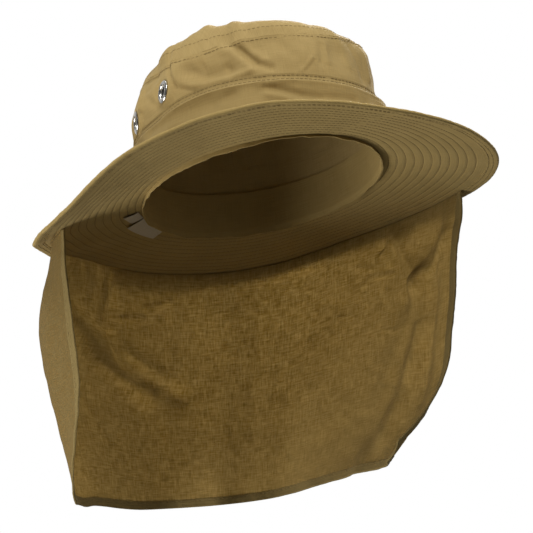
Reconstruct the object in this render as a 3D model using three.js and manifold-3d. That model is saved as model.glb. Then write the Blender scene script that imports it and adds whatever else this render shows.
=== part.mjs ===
// A ranger hat with a neck flap, in the form that it has when worn.
// Millimetres, +Z up, -Y the wearer's front, +X the wearer's left. The origin is
// the centre of the head opening, level with the seam between crown and brim.
//
// Angles round the hat are in degrees from the wearer's front towards the
// wearer's right, so 90 is the right side, 180 the back and 270 the left side.
// The hat sits tipped back: its own frame, in which the seam is level, is turned
// about X. The neck flap hangs under its own weight, so it is drawn in the world.
import * as THREE from "three";
import { mergeVertices } from "three/addons/utils/BufferGeometryUtils.js";
import Module from "manifold-3d";

const wasm = await Module();
wasm.setup();

// ---------------------------------------------------------------- dimensions

const TIP_BACK = 15.7; // degrees that the front of the hat is lifted
const GAP = 0.3; // left between pieces that are sewn or pressed together
const STEPS_ROUND = 60; // facets round the crown and brim

const OPENING = { side: 85.6, front: 100.1 }; // half axes of the head opening

const WALL = { thick: 1.5 };
const BAND = { height: 46, thick: 1.2 };
const BRIM = { width: 85.7, thick: 2, droop: 1.2 }; // droop: power that bends the brim
const BRIM_BINDING = { width: 9, thick: 2.6 };
const SWEATBAND = { height: 30, below: 4.5, thick: 1.2, puckers: 23, pucker: 1 };
const FLAP = { from: 113, to: 283, thick: 1.2, seamGap: 1.1 };
const FLAP_BINDING = { width: 7, thick: 2.2 };

// How far the brim's outer edge hangs below the seam, every 30 degrees.
const BRIM_EDGE = [
  { at: 0, drop: 18 },
  { at: 30, drop: 9 },
  { at: 60, drop: 14.4 },
  { at: 90, drop: 29.4 },
  { at: 120, drop: 22.3 },
  { at: 150, drop: 3 },
  { at: 180, drop: 5.5 },
  { at: 210, drop: 6.3 },
  { at: 240, drop: -0.9 },
  { at: 270, drop: 3.1 },
  { at: 300, drop: 13.7 },
  { at: 330, drop: 19.8 },
];

// Where the brim's edge kinks: up beside the flap's right front edge, then down.
const BRIM_DIPS = [
  { at: 132, wide: 9, down: -2.8 },
  { at: 148, wide: 5, down: 2 },
];

// Sections of the crown wall's outer face, from the seam up.
const CROWN_SECTIONS = [
  { height: 0, side: 87.1, front: 101.6, shiftX: 0, shiftY: 0 },
  { height: 20, side: 87.4, front: 100.8, shiftX: 1.2, shiftY: -0.9 },
  { height: 46, side: 86.5, front: 98.3, shiftX: 2.7, shiftY: -2.1 },
  { height: 66, side: 86, front: 97, shiftX: 2.4, shiftY: -2.1 },
  { height: 84, side: 81.5, front: 93, shiftX: 0.7, shiftY: -2.1 },
  { height: 100, side: 76, front: 87, shiftX: 0.7, shiftY: -2.1 },
];

// The seam between crown wall and crown top, every 30 degrees: its height, and
// how steeply the crown top's shoulder stands on it there.
const TOP_SEAM = [
  { at: 0, height: 79, shoulder: 1.1 },
  { at: 30, height: 79, shoulder: 1.27 },
  { at: 60, height: 78, shoulder: 1.65 },
  { at: 90, height: 81, shoulder: 1.4 },
  { at: 120, height: 88, shoulder: 0.7 },
  { at: 150, height: 90, shoulder: 0.8 },
  { at: 180, height: 88, shoulder: 1 },
  { at: 210, height: 87, shoulder: 1 },
  { at: 240, height: 88, shoulder: 0.9 },
  { at: 270, height: 89, shoulder: 0.8 },
  { at: 300, height: 89, shoulder: 0.5 },
  { at: 330, height: 83, shoulder: 0.68 },
];

// The crown top, from its rim (0) to its middle (1): a steep rounded shoulder.
const TOP_SECTIONS = [
  { inward: 0, rise: 0 },
  { inward: 0.035, rise: 6 },
  { inward: 0.1, rise: 11.5 },
  { inward: 0.22, rise: 15.5 },
  { inward: 0.5, rise: 18.8 },
  { inward: 1, rise: 20 },
];
const TOP_MIDDLE = 85; // height that the rise of its middle is measured from
const TOP_FLAT = 0.22; // from here inwards it is thick straight down

// Soft dents (depth above 0) and ridges (below 0) of the crown wall.
const CROWN_DENTS = [
  { at: 306, height: 76, wide: 38, tall: 14, depth: -3.6 },
  { at: 118, height: 57, wide: 30, tall: 13, depth: -3.6 },
  { at: 112, height: 92, wide: 30, tall: 16, depth: 3.5 },
  { at: 74, height: 64, wide: 7, tall: 18, depth: -3 },
  { at: 56, height: 64, wide: 11, tall: 12, depth: 4 },
  { at: 30, height: 70, wide: 10, tall: 10, depth: 2.5 },
  { at: 12, height: 60, wide: 12, tall: 10, depth: -2 },
  { at: 350, height: 66, wide: 8, tall: 10, depth: 2 },
  { at: 165, height: 66, wide: 16, tall: 14, depth: 4 },
  { at: 215, height: 64, wide: 18, tall: 14, depth: 3 },
  { at: 248, height: 72, wide: 12, tall: 12, depth: 3 },
];

// Where the hat band stands off the crown: puffs along its lower half.
const BAND_PUFFS = [
  { at: 318, height: 30, wide: 16, tall: 11, depth: 3.5 },
  { at: 352, height: 18, wide: 20, tall: 10, depth: 2.5 },
  { at: 35, height: 20, wide: 18, tall: 12, depth: 3 },
  { at: 85, height: 22, wide: 20, tall: 12, depth: 2 },
  { at: 150, height: 20, wide: 26, tall: 12, depth: 2.5 },
  { at: 215, height: 20, wide: 22, tall: 12, depth: 2 },
  { at: 270, height: 22, wide: 18, tall: 12, depth: 2.5 },
];

// How far in from the brim's outer edge the flap is sewn, along its top edge.
const FLAP_SEAM = [
  { along: 0, inset: 21 },
  { along: 0.1, inset: 15 },
  { along: 0.2, inset: 11.5 },
  { along: 1, inset: 11.5 },
];

// The flap's length down from its seam: full, with its lower corners rounded off.
const FLAP_LENGTH = [
  { along: 0, length: 176 },
  { along: 0.02, length: 188 },
  { along: 0.06, length: 195 },
  { along: 0.3, length: 189 },
  { along: 0.5, length: 185 },
  { along: 0.7, length: 191 },
  { along: 0.94, length: 203 },
  { along: 0.98, length: 200 },
  { along: 1, length: 190 },
];

// How far the flap hangs outwards from its seam (inwards below 0), by how far
// down it is, for the right front edge, the fold beside it, the right of the
// back, the middle, the left of the back and the left front edge.
const FLAP_STATIONS = [0, 0.1, 0.3, 0.55, 0.8, 1];
const FLAP_HANG = [
  { down: 0, edgeR: 0, foldR: 0, backR: 0, back: 0, backL: 0, edgeL: 0 },
  { down: 0.1, edgeR: -1, foldR: 3, backR: 1, back: 0, backL: -1, edgeL: -0.2 },
  { down: 0.25, edgeR: -3.5, foldR: 8, backR: 2, back: 0, backL: -2, edgeL: -5 },
  { down: 0.4, edgeR: -7.3, foldR: 7.5, backR: 2, back: -2, backL: -4, edgeL: -6.2 },
  { down: 0.55, edgeR: -11, foldR: 2.5, backR: 0, back: -5, backL: -8, edgeL: -9 },
  { down: 0.7, edgeR: -12.2, foldR: -5.5, backR: -4, back: -9, backL: -13, edgeL: -13.2 },
  { down: 0.85, edgeR: -9, foldR: -12.5, backR: -9, back: -14, backL: -22, edgeL: -28 },
  { down: 1, edgeR: -7.5, foldR: -20, backR: -14, back: -18, backL: -40, edgeL: -54.5 },
];

// Soft folds of the flap: a ridge runs from one place to another, with its
// places as shares of the flap's width and length. Depth is outwards.
const FLAP_FOLDS = [
  { fromAlong: 0.235, fromDown: 0.24, toAlong: 0.4, toDown: 0.45, wide: 11, depth: -6.5 },
  { fromAlong: 0.22, fromDown: 0.06, toAlong: 0.21, toDown: 0.4, wide: 10, depth: 3 },
  { fromAlong: 0.36, fromDown: 0.5, toAlong: 0.4, toDown: 1, wide: 22, depth: 5 },
  { fromAlong: 0.52, fromDown: 0.2, toAlong: 0.5, toDown: 1, wide: 20, depth: -6 },
  { fromAlong: 0.64, fromDown: 0.1, toAlong: 0.62, toDown: 1, wide: 20, depth: 5 },
  { fromAlong: 0.833, fromDown: 0.04, toAlong: 0.885, toDown: 0.29, wide: 10, depth: -4 },
  { fromAlong: 0.97, fromDown: 0.16, toAlong: 0.888, toDown: 0.29, wide: 10, depth: -4 },
  { fromAlong: 0.886, fromDown: 0.29, toAlong: 0.83, toDown: 0.67, wide: 12, depth: -6 },
  { fromAlong: 0.83, fromDown: 0.67, toAlong: 0.81, toDown: 1, wide: 14, depth: -6 },
];

// Screened vent eyelets, by their place round the crown wall.
const EYELETS = [
  { name: "eyelet_right_front", at: 81, height: 60 },
  { name: "eyelet_right_rear", at: 108, height: 56 },
  { name: "eyelet_left_rear", at: 262, height: 58 },
  { name: "eyelet_left_front", at: 287, height: 60 },
];
const EYELET_SIDES = 12;
const VENT_HOLE = 5.75; // radius of the hole in the crown wall
// Half section of an eyelet: radius, and height above the cloth's outer face.
const EYELET_SECTION = [
  { radius: 0, height: -0.9 }, // under face of the screen
  { radius: 4.6, height: -0.9 },
  { radius: 4.6, height: -3.8 },
  { radius: 7.2, height: -3.8 }, // washer behind the cloth
  { radius: 7.2, height: -3.2 },
  { radius: 5.4, height: -3.2 },
  { radius: 5.4, height: 0.35 },
  { radius: 8.6, height: 0.9 }, // dished flange on the face of the cloth
  { radius: 7.4, height: 1.8 },
  { radius: 5.4, height: 1.5 },
  { radius: 4.6, height: -0.4 },
  { radius: 0, height: -0.4 }, // upper face of the screen
];

// Care tags: sewn under the brim's inner edge from one angle to another, then
// standing outwards and hanging down.
const TAG = { thick: 0.6, sewnAt: 1.5, below: 1.6 }; // sewnAt: out from the crown seam
const TAGS = [
  { name: "care_tag_small", from: 126, to: 137, out: 14, down: 3 },
  { name: "care_tag_large", from: 139, to: 158, out: 15, down: 5 },
];

// ------------------------------------------------------------- interpolation

const clamp = (x) => Math.min(Math.max(x, 0), 1);
const mix = THREE.MathUtils.lerp;
const radians = THREE.MathUtils.degToRad;

// A closed smooth curve through a table whose rows are evenly spaced round.
function roundTable(rows, column) {
  const values = rows.map((row) => row[column]);
  const n = values.length;
  return (angle) => {
    const place = ((angle / 360) * n + 2 * n) % n;
    const i = Math.floor(place);
    const f = place - i;
    const [a, b, c, d] = [-1, 0, 1, 2].map((k) => values[(i + k + n) % n]);
    const curve = 2 * a - 5 * b + 4 * c - d + f * (3 * (b - c) + d - a);
    return b + 0.5 * f * (c - a + f * curve);
  };
}

// A smooth curve through the given places and values, flat beyond its ends.
function smooth(places, values) {
  const last = places.length - 1;
  const slope = places.map((_, i) => {
    const [p, q] = [Math.max(i - 1, 0), Math.min(i + 1, last)];
    return (values[q] - values[p]) / (places[q] - places[p]);
  });
  return (x) => {
    if (x <= places[0]) return values[0];
    if (x >= places[last]) return values[last];
    const i = places.findIndex((p) => p > x) - 1;
    const width = places[i + 1] - places[i];
    const f = (x - places[i]) / width;
    const [f2, f3] = [f * f, f * f * f];
    return (
      values[i] * (2 * f3 - 3 * f2 + 1) +
      values[i + 1] * (3 * f2 - 2 * f3) +
      slope[i] * width * (f3 - 2 * f2 + f) +
      slope[i + 1] * width * (f3 - f2)
    );
  };
}

function tableCurve(rows, place, column) {
  return smooth(
    rows.map((row) => row[place]),
    rows.map((row) => row[column]),
  );
}

// Sum of soft bumps, each given by its angle, height, spread and depth.
function bumps(rows, angle, height) {
  return rows.reduce((sum, row) => {
    const turn = ((angle - row.at + 540) % 360) - 180;
    const far = (turn / row.wide) ** 2 + ((height - row.height) / row.tall) ** 2;
    return sum + row.depth * Math.exp(-far);
  }, 0);
}

// -------------------------------------------------------------------- shells

// A sheet with thickness, between the surfaces face(i, j) and back(i, j). The
// face is the side that the cross product of the j and i directions points to.
// A loop joins its last column to its first; a capped sheet's last row is a point.
function shell({ face, back, columns, rows, loop = false, capped = false }) {
  const across = loop ? columns : columns + 1;
  const rowCount = capped ? rows : rows + 1;
  const sheetSize = across * rowCount + (capped ? 1 : 0);
  const positions = [];
  for (const surface of [face, back]) {
    for (let j = 0; j < rowCount; j++)
      for (let i = 0; i < across; i++) positions.push(...surface(i, j));
    if (capped) positions.push(...surface(0, rows));
  }
  const index = [];
  const at = (side, i, j) =>
    side * sheetSize + (capped && j === rows ? sheetSize - 1 : j * across + (i % across));
  const quad = (a, b, c, d) => {
    if (a !== b && b !== c && c !== a) index.push(a, b, c);
    if (a !== c && c !== d && d !== a) index.push(a, c, d);
  };
  for (let i = 0; i < columns; i++) {
    for (let j = 0; j < rows; j++) {
      quad(at(0, i, j), at(0, i, j + 1), at(0, i + 1, j + 1), at(0, i + 1, j));
      quad(at(1, i, j), at(1, i + 1, j), at(1, i + 1, j + 1), at(1, i, j + 1));
    }
    quad(at(0, i, 0), at(0, i + 1, 0), at(1, i + 1, 0), at(1, i, 0));
    if (!capped)
      quad(at(0, i, rows), at(1, i, rows), at(1, i + 1, rows), at(0, i + 1, rows));
  }
  if (!loop)
    for (let j = 0; j < rows; j++) {
      quad(at(0, 0, j), at(1, 0, j), at(1, 0, j + 1), at(0, 0, j + 1));
      quad(at(0, columns, j), at(0, columns, j + 1), at(1, columns, j + 1), at(1, columns, j));
    }
  const geometry = new THREE.BufferGeometry();
  geometry.setAttribute("position", new THREE.Float32BufferAttribute(positions, 3));
  geometry.setIndex(index);
  geometry.computeVertexNormals();
  return geometry;
}

// --------------------------------------------------------------- hat surfaces

const brimRound = roundTable(BRIM_EDGE, "drop");
const topSeam = roundTable(TOP_SEAM, "height");
const topShoulder = roundTable(TOP_SEAM, "shoulder");
const crownSide = tableCurve(CROWN_SECTIONS, "height", "side");
const crownFront = tableCurve(CROWN_SECTIONS, "height", "front");
const crownShiftX = tableCurve(CROWN_SECTIONS, "height", "shiftX");
const crownShiftY = tableCurve(CROWN_SECTIONS, "height", "shiftY");

// How far the brim's edge hangs below the seam at an angle.
function brimDrop(angle) {
  return BRIM_DIPS.reduce((drop, dip) => {
    const turn = ((angle - dip.at + 540) % 360) - 180;
    return drop + dip.down * Math.exp(-((turn / dip.wide) ** 2));
  }, brimRound(angle));
}

// Horizontal outward normal of an oval at an angle.
function ovalNormal(angle, side, front) {
  const t = radians(angle);
  return new THREE.Vector3(-Math.sin(t) / side, -Math.cos(t) / front, 0).normalize();
}

// A point of the crown wall, standing out from its outer face.
function crownPoint(angle, height, out = 0) {
  const t = radians(angle);
  const [side, front] = [crownSide(height), crownFront(height)];
  const dent = bumps(CROWN_DENTS, angle, height);
  return new THREE.Vector3(
    -side * Math.sin(t) + crownShiftX(height),
    -front * Math.cos(t) + crownShiftY(height),
    height,
  ).addScaledVector(ovalNormal(angle, side, front), out - dent);
}

// A point of the brim, along from the seam towards the edge, above its middle layer.
function brimPoint(angle, along, above = 0) {
  const t = radians(angle);
  const drop = brimDrop(angle);
  const reach = Math.sqrt(BRIM.width ** 2 - drop ** 2);
  const share = along / BRIM.width;
  const slope = Math.atan((BRIM.droop * drop * share ** (BRIM.droop - 1)) / reach);
  return new THREE.Vector3(
    -OPENING.side * Math.sin(t),
    -OPENING.front * Math.cos(t),
    -drop * share ** BRIM.droop + above * Math.cos(slope),
  ).addScaledVector(
    ovalNormal(angle, OPENING.side, OPENING.front),
    reach * share + above * Math.sin(slope),
  );
}

const angleOf = (i) => (i * 360) / STEPS_ROUND;

// A closed ring of cloth whose height runs over the given levels.
function wallRing(levels, outer, inner) {
  return shell({
    face: (i, j) => outer(angleOf(i), levels(angleOf(i))[j]),
    back: (i, j) => inner(angleOf(i), levels(angleOf(i))[j]),
    columns: STEPS_ROUND,
    rows: levels(0).length - 1,
    loop: true,
  });
}

const wallFoot = BRIM.thick / 2 + GAP; // lowest level of what stands on the brim
// The wall shares the band's levels, so that their facets stay parallel.
const BAND_LEVELS = [12, 24, 36, BAND.height];
const WALL_LEVELS = [55, 65, 75];

function crownWall() {
  const levels = (angle) => [
    wallFoot,
    ...BAND_LEVELS.slice(1),
    ...WALL_LEVELS,
    topSeam(angle) - GAP / 2,
  ];
  return wallRing(
    levels,
    (angle, height) => crownPoint(angle, height),
    (angle, height) => crownPoint(angle, height, -WALL.thick),
  );
}

function hatBand() {
  const levels = () => [wallFoot, ...BAND_LEVELS];
  const off = (angle, height) =>
    GAP + bumps(BAND_PUFFS, angle, height) * clamp((BAND.height - height) / 12);
  return wallRing(
    levels,
    (angle, height) => crownPoint(angle, height, off(angle, height) + BAND.thick),
    (angle, height) => crownPoint(angle, height, off(angle, height)),
  );
}

function sweatband() {
  const out = -WALL.thick - GAP;
  const levels = (angle) => [
    -SWEATBAND.below - SWEATBAND.pucker * Math.sin(radians(angle * SWEATBAND.puckers)),
    wallFoot,
    SWEATBAND.height,
  ];
  const point = (angle, height, depth) =>
    crownPoint(angle, Math.max(height, 0), out - depth).setZ(height);
  return wallRing(
    levels,
    (angle, height) => point(angle, height, 0),
    (angle, height) => point(angle, height, SWEATBAND.thick),
  );
}

function crownTop() {
  const middle = new THREE.Vector3(crownShiftX(TOP_MIDDLE), crownShiftY(TOP_MIDDLE), TOP_MIDDLE);
  const point = (i, j, under) => {
    const angle = angleOf(i);
    const { inward, rise } = TOP_SECTIONS[j];
    const rim = crownPoint(angle, topSeam(angle) + GAP / 2, -under);
    const p = rim.lerp(middle, inward);
    p.z += rise * mix(topShoulder(angle), 1, inward) - under * clamp(inward / TOP_FLAT);
    return p;
  };
  return shell({
    face: (i, j) => point(i, j, 0),
    back: (i, j) => point(i, j, WALL.thick),
    columns: STEPS_ROUND,
    rows: TOP_SECTIONS.length - 1,
    loop: true,
    capped: true,
  });
}

// A ring of the brim between two distances from the seam.
function brimRing(from, to, rows, thick) {
  const along = (j) => mix(from, to, j / rows);
  return shell({
    face: (i, j) => brimPoint(angleOf(i), along(j), -thick / 2),
    back: (i, j) => brimPoint(angleOf(i), along(j), thick / 2),
    columns: STEPS_ROUND,
    rows,
    loop: true,
  });
}

// ------------------------------------------------------------------ eyelets

// Places a piece on the crown wall with its Y axis along the wall's normal.
function onCrownWall(object, angle, height) {
  const step = 0.5;
  const origin = crownPoint(angle, height);
  const round = crownPoint(angle + step, height).sub(crownPoint(angle - step, height));
  const up = crownPoint(angle, height + step).sub(crownPoint(angle, height - step));
  const normal = up.cross(round).normalize();
  object.position.copy(origin);
  object.quaternion.setFromUnitVectors(new THREE.Vector3(0, 1, 0), normal);
  object.updateMatrix();
  return object;
}

function eyelet() {
  const section = EYELET_SECTION.map((p) => new THREE.Vector2(p.radius, p.height));
  return new THREE.LatheGeometry(section, EYELET_SIDES);
}

function solid(geometry) {
  const bare = geometry.clone();
  bare.deleteAttribute("normal");
  bare.deleteAttribute("uv");
  const merged = mergeVertices(bare, 1e-4);
  return new wasm.Manifold(
    new wasm.Mesh({
      numProp: 3,
      vertProperties: merged.attributes.position.array,
      triVerts: new Uint32Array(merged.index.array),
    }),
  );
}

function geometryOf(manifold) {
  const mesh = manifold.getMesh();
  const geometry = new THREE.BufferGeometry();
  geometry.setAttribute("position", new THREE.BufferAttribute(mesh.vertProperties, 3));
  geometry.setIndex(new THREE.BufferAttribute(mesh.triVerts, 1));
  geometry.computeVertexNormals();
  return geometry;
}

function pierced(wall) {
  const hole = new THREE.CylinderGeometry(VENT_HOLE, VENT_HOLE, 12, EYELET_SIDES);
  return geometryOf(
    EYELETS.reduce((left, { at, height }) => {
      const place = onCrownWall(new THREE.Object3D(), at, height);
      return left.subtract(solid(hole.clone().applyMatrix4(place.matrix)));
    }, solid(wall)),
  );
}

// ---------------------------------------------------------------- neck flap

const flapInset = tableCurve(FLAP_SEAM, "along", "inset");
const flapLength = tableCurve(FLAP_LENGTH, "along", "length");
const flapHang = ["edgeR", "foldR", "backR", "back", "backL", "edgeL"].map((column) =>
  tableCurve(FLAP_HANG, "down", column),
);
const FLAP_WIDTH = 520; // length of its top edge, for spacing folds and binding
const FLAP_DEPTH = 200; // usual length from top edge to lower edge
const tip = new THREE.Matrix4().makeRotationX(-radians(TIP_BACK));

// Distance of a place on the flap from a fold's line, in millimetres.
function offFold(fold, along, down) {
  const start = new THREE.Vector2(fold.fromAlong * FLAP_WIDTH, fold.fromDown * FLAP_DEPTH);
  const run = new THREE.Vector2(fold.toAlong * FLAP_WIDTH, fold.toDown * FLAP_DEPTH).sub(start);
  const off = new THREE.Vector2(along * FLAP_WIDTH, down * FLAP_DEPTH).sub(start);
  return off.addScaledVector(run, -clamp(off.dot(run) / run.lengthSq())).length();
}

// A point of the flap's middle layer, with its outward direction.
function flapPlace(along, down) {
  const angle = mix(FLAP.from, FLAP.to, along);
  const outward = ovalNormal(angle, OPENING.side, OPENING.front);
  const seam = brimPoint(angle, BRIM.width - flapInset(along), -BRIM.thick / 2 - FLAP.seamGap);
  seam.applyMatrix4(tip);
  const hang = smooth(
    FLAP_STATIONS,
    flapHang.map((curve) => curve(down)),
  )(along);
  const folded = FLAP_FOLDS.reduce(
    (sum, fold) => sum + fold.depth * Math.exp(-((offFold(fold, along, down) / fold.wide) ** 2)),
    0,
  );
  seam.addScaledVector(outward, hang + folded * clamp(down / 0.08));
  seam.z -= flapLength(along) * down;
  return seam;
}

// A point beside the middle layer, towards the head by the given depth.
function flapPoint(along, down, inward) {
  const step = 0.004;
  const [a0, a1] = [Math.max(along - step, 0), Math.min(along + step, 1)];
  const [d0, d1] = [Math.max(down - step, 0), Math.min(down + step, 1)];
  const round = flapPlace(a1, down).sub(flapPlace(a0, down));
  const fall = flapPlace(along, d1).sub(flapPlace(along, d0));
  const normal = fall.cross(round).normalize();
  return flapPlace(along, down).addScaledVector(normal, inward);
}

const FLAP_COLUMNS = 46;
const FLAP_ROWS = 13;
const edgeAlong = FLAP_BINDING.width / FLAP_WIDTH;
const edgeDown = FLAP_BINDING.width / FLAP_DEPTH;

// The flap's grid stops short of the binding by the gap.
const columnAlong = (i) => {
  const margin = edgeAlong + GAP / FLAP_WIDTH;
  return mix(margin, 1 - margin, i / FLAP_COLUMNS);
};
const rowDown = (j) => ((1 - edgeDown - GAP / FLAP_DEPTH) * j) / FLAP_ROWS;

function neckFlap() {
  return shell({
    face: (i, j) => flapPoint(columnAlong(i), rowDown(j), FLAP.thick / 2),
    back: (i, j) => flapPoint(columnAlong(i), rowDown(j), -FLAP.thick / 2),
    columns: FLAP_COLUMNS,
    rows: FLAP_ROWS,
  });
}

// The binding: down the right front edge, round the lower edge, up the left.
// Each step holds a place on the outer edge and the way in to the inner edge.
function flapBinding() {
  const side = (along, inAlong) =>
    Array.from({ length: FLAP_ROWS }, (_, j) => ({ along, down: rowDown(j), inAlong, inDown: 0 }));
  const lower = Array.from({ length: FLAP_COLUMNS - 1 }, (_, i) => ({
    along: columnAlong(i + 1),
    down: 1,
    inAlong: 0,
    inDown: -edgeDown,
  }));
  const path = [
    ...side(0, edgeAlong),
    { along: 0, down: 1, inAlong: edgeAlong, inDown: -edgeDown },
    ...lower,
    { along: 1, down: 1, inAlong: -edgeAlong, inDown: -edgeDown },
    ...side(1, -edgeAlong).reverse(),
  ];
  const point = (i, j, out) => {
    const p = path[i];
    return flapPoint(
      p.along + p.inAlong * (1 - j),
      p.down + p.inDown * (1 - j),
      (out * FLAP_BINDING.thick) / 2,
    );
  };
  return shell({
    face: (i, j) => point(i, j, 1),
    back: (i, j) => point(i, j, -1),
    columns: path.length - 1,
    rows: 1,
  });
}

// ---------------------------------------------------------------- care tags

function careTag({ from, to, out, down }) {
  const columns = 2;
  const rows = 3;
  const point = (i, j, side) => {
    const angle = mix(from, to, i / columns);
    const share = j / rows;
    const p = brimPoint(angle, TAG.sewnAt + out * share);
    p.z -= TAG.below + down * share ** 1.5 - (side * TAG.thick) / 2;
    return p;
  };
  return shell({
    face: (i, j) => point(i, j, -1),
    back: (i, j) => point(i, j, 1),
    columns,
    rows,
  });
}

// ----------------------------------------------------------------- assembly

const cloth = { roughness: 0.9, metalness: 0, side: THREE.DoubleSide };
const CROWN_CLOTH = new THREE.MeshStandardMaterial({ color: 0xa08a58, ...cloth });
const BRIM_CLOTH = new THREE.MeshStandardMaterial({ color: 0x97804e, ...cloth });
const FLAP_CLOTH = new THREE.MeshStandardMaterial({ color: 0x8c7648, ...cloth });
const TAG_CLOTH = new THREE.MeshStandardMaterial({ color: 0xe9e6dd, ...cloth });
const NICKEL = new THREE.MeshStandardMaterial({
  color: 0xc4c4c2,
  roughness: 0.25,
  metalness: 1,
});

function piece(name, geometry, material) {
  const mesh = new THREE.Mesh(geometry, material);
  mesh.name = name;
  return mesh;
}

const bindingFrom = BRIM.width - BRIM_BINDING.width;
const hat = new THREE.Group();
hat.rotation.x = -radians(TIP_BACK);
hat.add(
  piece("crown_top", crownTop(), CROWN_CLOTH),
  piece("crown_wall", pierced(crownWall()), CROWN_CLOTH),
  piece("hat_band", hatBand(), CROWN_CLOTH),
  piece("sweatband", sweatband(), BRIM_CLOTH),
  piece("brim", brimRing(0, bindingFrom - GAP, 4, BRIM.thick), BRIM_CLOTH),
  piece("brim_binding", brimRing(bindingFrom, BRIM.width, 1, BRIM_BINDING.thick), BRIM_CLOTH),
  ...TAGS.map((tag) => piece(tag.name, careTag(tag), TAG_CLOTH)),
  ...EYELETS.map(({ name, at, height }) =>
    onCrownWall(piece(name, eyelet(), NICKEL), at, height),
  ),
);

const flap = new THREE.Group();
flap.add(
  piece("neck_flap", neckFlap(), FLAP_CLOTH),
  piece("flap_binding", flapBinding(), FLAP_CLOTH),
);

const rangerHat = new THREE.Group();
rangerHat.add(hat, flap);

export default rangerHat;
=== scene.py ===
import math

import bpy
import numpy as np
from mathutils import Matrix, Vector


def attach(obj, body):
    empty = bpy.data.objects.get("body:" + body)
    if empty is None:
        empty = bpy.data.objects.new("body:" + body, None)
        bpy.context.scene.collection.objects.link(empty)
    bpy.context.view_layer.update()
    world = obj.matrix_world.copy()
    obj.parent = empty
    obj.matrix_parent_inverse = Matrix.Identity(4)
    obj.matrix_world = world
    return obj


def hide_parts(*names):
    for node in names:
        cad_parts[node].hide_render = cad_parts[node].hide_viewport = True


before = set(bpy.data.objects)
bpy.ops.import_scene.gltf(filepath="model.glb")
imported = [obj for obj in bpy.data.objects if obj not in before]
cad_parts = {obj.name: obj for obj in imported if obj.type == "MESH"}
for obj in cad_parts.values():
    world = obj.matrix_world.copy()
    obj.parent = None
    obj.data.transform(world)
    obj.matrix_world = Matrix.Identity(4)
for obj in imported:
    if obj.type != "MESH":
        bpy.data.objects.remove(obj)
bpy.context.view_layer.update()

# ---- dimensions

TIP_BACK = math.radians(15.7)  # from upright, about the X axis
GAP = 0.3  # between neighbouring pieces
SIDE, FRONT = 85.6, 100.1  # half axes of the head opening
ARC, BRIM_ARC, BINDING_ARC = 1.62, 2.3, 2.9  # millimetres of crown, brim and binding to a degree
WALL_THICK = 1.3
BAND_HEIGHT, BAND_THICK = 46.0, 1.0
BAND_SEWING = [(1.4, 0.8), (5.0, 0.9)]  # below its top edge, half width of the groove
SWEATBAND_FOOT, SWEATBAND_TOP, SWEATBAND_THICK = -4.5, 30.0, 1.0
BRIM_WIDTH, BRIM_THICK, BRIM_DROOP = 85.7, 2.0, 1.2
BINDING_WIDTH, BINDING_THICK = 9.0, 2.7
QUILT_FIRST, QUILT_PITCH, QUILT_ROWS, QUILT_DEPTH = 5.0, 6.4, 11, 0.32
FLAP_FROM, FLAP_TO, FLAP_SEAM_GAP = 113.0, 283.0, 1.1
FLAP_WIDTH, FLAP_DEPTH, FLAP_THICK = 520.0, 200.0, 0.5
FLAP_EDGE, FLAP_EDGE_THICK = 7.0, 1.5  # its binding
TAG_THICK = 0.4

# Every 30 degrees: the brim edge's drop, the band's top edge above BAND_HEIGHT, the height
# of the crown top's seam, and how full the shoulder above that is.
BRIM_EDGE = [18, 9, 14.4, 29.4, 22.3, 3, 5.5, 6.3, -0.9, 3.1, 13.7, 19.8]
BAND_TOP = [-2, 1, 3.4, -0.6, 1.6, 0.4, 0, 0.5, -0.5, 0.4, 0, -2.2]
TOP_SEAM = [79, 79, 78, 81, 88, 90, 88, 87, 88, 89, 89, 83]
TOP_SHOULDER = [1.1, 1.27, 1.65, 1.4, 0.7, 0.8, 1, 1, 0.9, 0.8, 0.5, 0.68]
BRIM_DIPS = [(132, 9, -2.8), (148, 5, 2)]  # at, wide (degrees), how far down

# height, side, front, shift in X, shift in Y
CROWN_SECTIONS = np.array([
    (0, 87.1, 101.6, 0, 0),
    (20, 87.4, 100.8, 1.2, -0.9),
    (46, 86.5, 98.3, 2.7, -2.1),
    (66, 86, 97, 2.4, -2.1),
    (84, 81.5, 93, 0.7, -2.1),
    (100, 76, 87, 0.7, -2.1),
])
# the crown top's rise over its seam, by the share of the way in, and its middle's height
TOP_PLACES = [0, 0.035, 0.1, 0.22, 0.5, 1]
TOP_RISES = [0, 6, 11.5, 15.5, 18.8, 20]
TOP_MIDDLE = 85

# at, height, wide (degrees), tall, depth
CROWN_DENTS = [
    (306, 76, 38, 14, -3.6),
    (118, 57, 30, 13, -3.6),
    (112, 92, 30, 16, 3.5),
    (74, 64, 7, 18, -3),
    (56, 64, 11, 12, 4),
    (30, 70, 10, 10, 2.5),
    (12, 60, 12, 10, -2),
    (350, 66, 8, 10, 2),
    (165, 66, 16, 14, 4),
    (215, 64, 18, 14, 3),
    (248, 72, 12, 12, 3),
]
BAND_PUFFS = [
    (318, 30, 16, 11, 3.5),
    (352, 18, 20, 10, 2.5),
    (35, 20, 18, 12, 3),
    (85, 22, 20, 12, 2),
    (150, 20, 26, 12, 2.5),
    (215, 20, 22, 12, 2),
    (270, 22, 18, 12, 2.5),
]

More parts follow.
